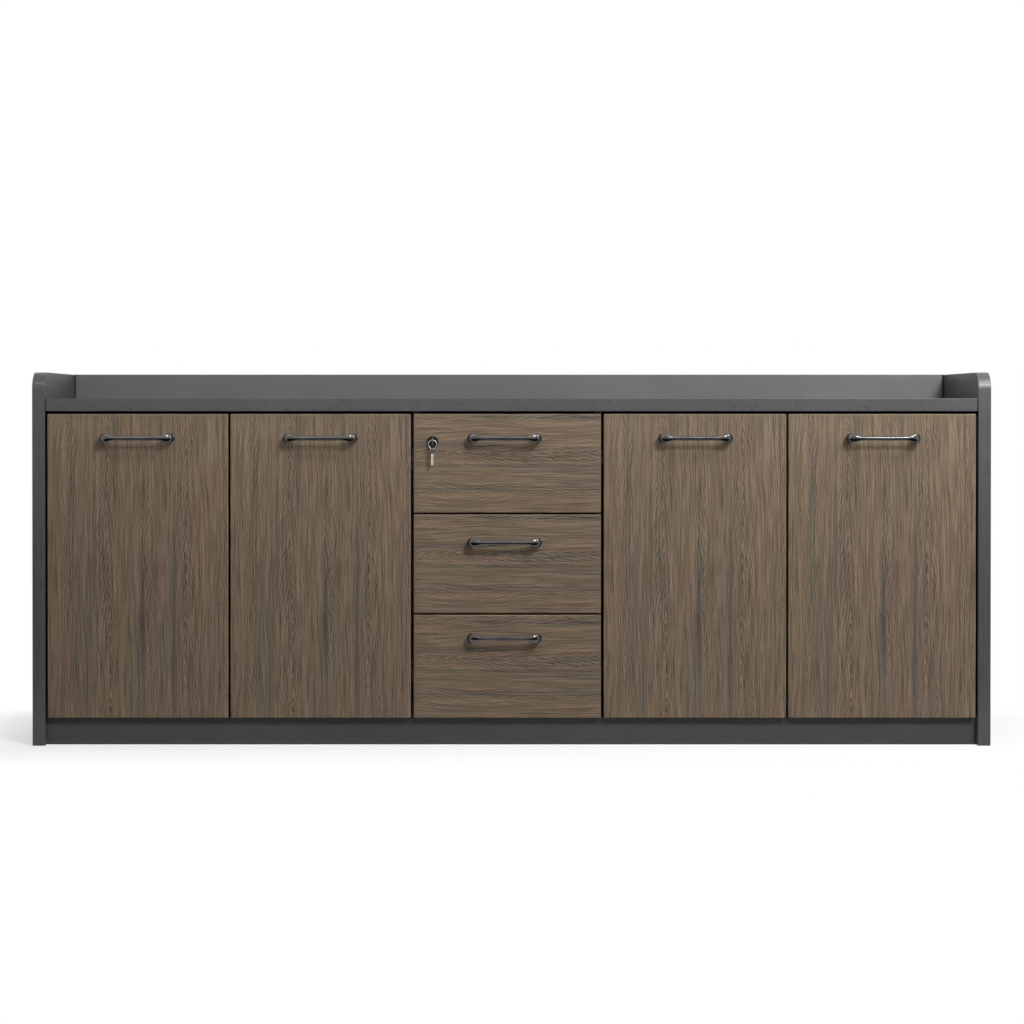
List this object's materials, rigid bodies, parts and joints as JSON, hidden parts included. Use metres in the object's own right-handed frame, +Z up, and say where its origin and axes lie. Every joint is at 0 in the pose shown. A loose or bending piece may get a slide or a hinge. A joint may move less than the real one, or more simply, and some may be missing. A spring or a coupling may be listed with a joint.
{
  "type": "office credenza",
  "caption": "Long low office credenza with wood-look doors, a central drawer stack with a lock, a raised gallery edge and a recessed plinth.",
  "frame": {"origin": "on the floor, at the middle of the footprint with the handles included", "axes": "+Z up, +X along the length to the right of someone facing the fronts, +Y from the fronts to the back"},
  "size_m": [2, 0.43, 0.78],
  "materials": {
    "carcass_laminate": "dark grey melamine laminate on board, fine matt texture",
    "front_laminate": "grey-brown wood-grain laminate, satin",
    "drawer_board": "light grey melamine board, matt",
    "handle_metal": "gunmetal plated die casting, semi-gloss",
    "hinge_steel": "nickel plated pressed steel",
    "runner_steel": "bright zinc plated steel",
    "lock_metal": "dark nickel plated zinc casting",
    "key_metal": "bright nickel plate",
    "lock_bar_aluminium": "mill aluminium",
    "guide_plastic": "black moulded nylon"
  },
  "bodies": {
    "carcass": {"left_side_panel": "carcass_laminate", "right_side_panel": "carcass_laminate", "top_board": "carcass_laminate", "gallery_back": "carcass_laminate", "bottom_board": "carcass_laminate", "front_plinth": "carcass_laminate", "rear_plinth": "carcass_laminate", "plinth_cross_members": "carcass_laminate", "left_partition": "carcass_laminate", "right_partition": "carcass_laminate", "back_panel": "carcass_laminate", "left_shelf": "carcass_laminate", "right_shelf": "carcass_laminate", "shelf_pins": "runner_steel", "hinge_mounting_plates": "hinge_steel", "hinge_arms": "hinge_steel", "runner_outer_members": "runner_steel", "cam_fittings": "runner_steel", "lock_bar_guides": "guide_plastic"},
    "left_outer_door": {"left_outer_door_panel": "front_laminate", "left_outer_door_handle": "handle_metal", "left_outer_door_hinge_cups": "hinge_steel"},
    "left_inner_door": {"left_inner_door_panel": "front_laminate", "left_inner_door_handle": "handle_metal", "left_inner_door_hinge_cups": "hinge_steel"},
    "right_inner_door": {"right_inner_door_panel": "front_laminate", "right_inner_door_handle": "handle_metal", "right_inner_door_hinge_cups": "hinge_steel"},
    "right_outer_door": {"right_outer_door_panel": "front_laminate", "right_outer_door_handle": "handle_metal", "right_outer_door_hinge_cups": "hinge_steel"},
    "top_drawer": {"top_drawer_front": "front_laminate", "top_drawer_handle": "handle_metal", "top_drawer_box": "drawer_board", "top_drawer_bottom": "drawer_board", "top_drawer_catch_hook": "runner_steel", "top_drawer_inner_runners": "runner_steel", "lock_barrel": "lock_metal"},
    "top_drawer_middle_runners": {"top_drawer_middle_runners": "runner_steel"},
    "middle_drawer": {"middle_drawer_front": "front_laminate", "middle_drawer_handle": "handle_metal", "middle_drawer_box": "drawer_board", "middle_drawer_bottom": "drawer_board", "middle_drawer_catch_hook": "runner_steel", "middle_drawer_inner_runners": "runner_steel"},
    "middle_drawer_middle_runners": {"middle_drawer_middle_runners": "runner_steel"},
    "bottom_drawer": {"bottom_drawer_front": "front_laminate", "bottom_drawer_handle": "handle_metal", "bottom_drawer_box": "drawer_board", "bottom_drawer_bottom": "drawer_board", "bottom_drawer_catch_hook": "runner_steel", "bottom_drawer_inner_runners": "runner_steel"},
    "bottom_drawer_middle_runners": {"bottom_drawer_middle_runners": "runner_steel"},
    "lock_core": {"lock_plug": "lock_metal", "lock_cam": "runner_steel", "key": "key_metal"},
    "key_ring": {"key_ring": "key_metal"},
    "spare_key": {"spare_key": "key_metal"},
    "lock_bar": {"lock_bar": "lock_bar_aluminium"}
  },
  "joints": [
    {"name": "left_outer_door_swing", "type": "hinge", "parent": "carcass", "child": "left_outer_door", "pos_m": [-0.9554, -0.174, 0.1533], "axis": [0, 0, -1], "range_deg": [0, 100]},
    {"name": "left_inner_door_swing", "type": "hinge", "parent": "carcass", "child": "left_inner_door", "pos_m": [-0.2232, -0.174, 0.1533], "axis": [0, 0, 1], "range_deg": [0, 100]},
    {"name": "right_inner_door_swing", "type": "hinge", "parent": "carcass", "child": "right_inner_door", "pos_m": [0.2052, -0.174, 0.1533], "axis": [0, 0, -1], "range_deg": [0, 100]},
    {"name": "right_outer_door_swing", "type": "hinge", "parent": "carcass", "child": "right_outer_door", "pos_m": [0.9554, -0.174, 0.1533], "axis": [0, 0, 1], "range_deg": [0, 100]},
    {"name": "top_drawer_slide", "type": "slide", "parent": "carcass", "child": "top_drawer", "axis": [0, 1, 0], "range_m": [-0.29, 0]},
    {"name": "top_drawer_middle_slide", "type": "slide", "parent": "carcass", "child": "top_drawer_middle_runners", "axis": [0, 1, 0], "range_m": [-0.145, 0]},
    {"name": "middle_drawer_slide", "type": "slide", "parent": "carcass", "child": "middle_drawer", "axis": [0, 1, 0], "range_m": [-0.29, 0]},
    {"name": "middle_drawer_middle_slide", "type": "slide", "parent": "carcass", "child": "middle_drawer_middle_runners", "axis": [0, 1, 0], "range_m": [-0.145, 0]},
    {"name": "bottom_drawer_slide", "type": "slide", "parent": "carcass", "child": "bottom_drawer", "axis": [0, 1, 0], "range_m": [-0.29, 0]},
    {"name": "bottom_drawer_middle_slide", "type": "slide", "parent": "carcass", "child": "bottom_drawer_middle_runners", "axis": [0, 1, 0], "range_m": [-0.145, 0]},
    {"name": "lock_turn", "type": "hinge", "parent": "top_drawer", "child": "lock_core", "pos_m": [-0.1646, -0.185, 0.6346], "axis": [0, 1, 0], "range_deg": [0, 90]},
    {"name": "lock_bar_lift", "type": "slide", "parent": "carcass", "child": "lock_bar", "axis": [0, 0, 1], "range_m": [0, 0.01414]},
    {"name": "key_ring_swing", "type": "hinge", "parent": "lock_core", "child": "key_ring", "pos_m": [-0.1646, -0.202, 0.6396], "axis": [-1, 0, 0], "range_deg": [-6, 30]},
    {"name": "spare_key_swing", "type": "hinge", "parent": "key_ring", "child": "spare_key", "pos_m": [-0.1646, -0.202, 0.6183], "axis": [-1, 0, 0], "range_deg": [-6, 75]}
  ],
  "couplings": [
    {"joint": "top_drawer_middle_slide", "follows": "top_drawer_slide", "ratio": 0.5},
    {"joint": "middle_drawer_middle_slide", "follows": "middle_drawer_slide", "ratio": 0.5},
    {"joint": "bottom_drawer_middle_slide", "follows": "bottom_drawer_slide", "ratio": 0.5},
    {"joint": "lock_turn", "follows": "lock_bar_lift", "rad_per_m": 111.07}
  ]
}
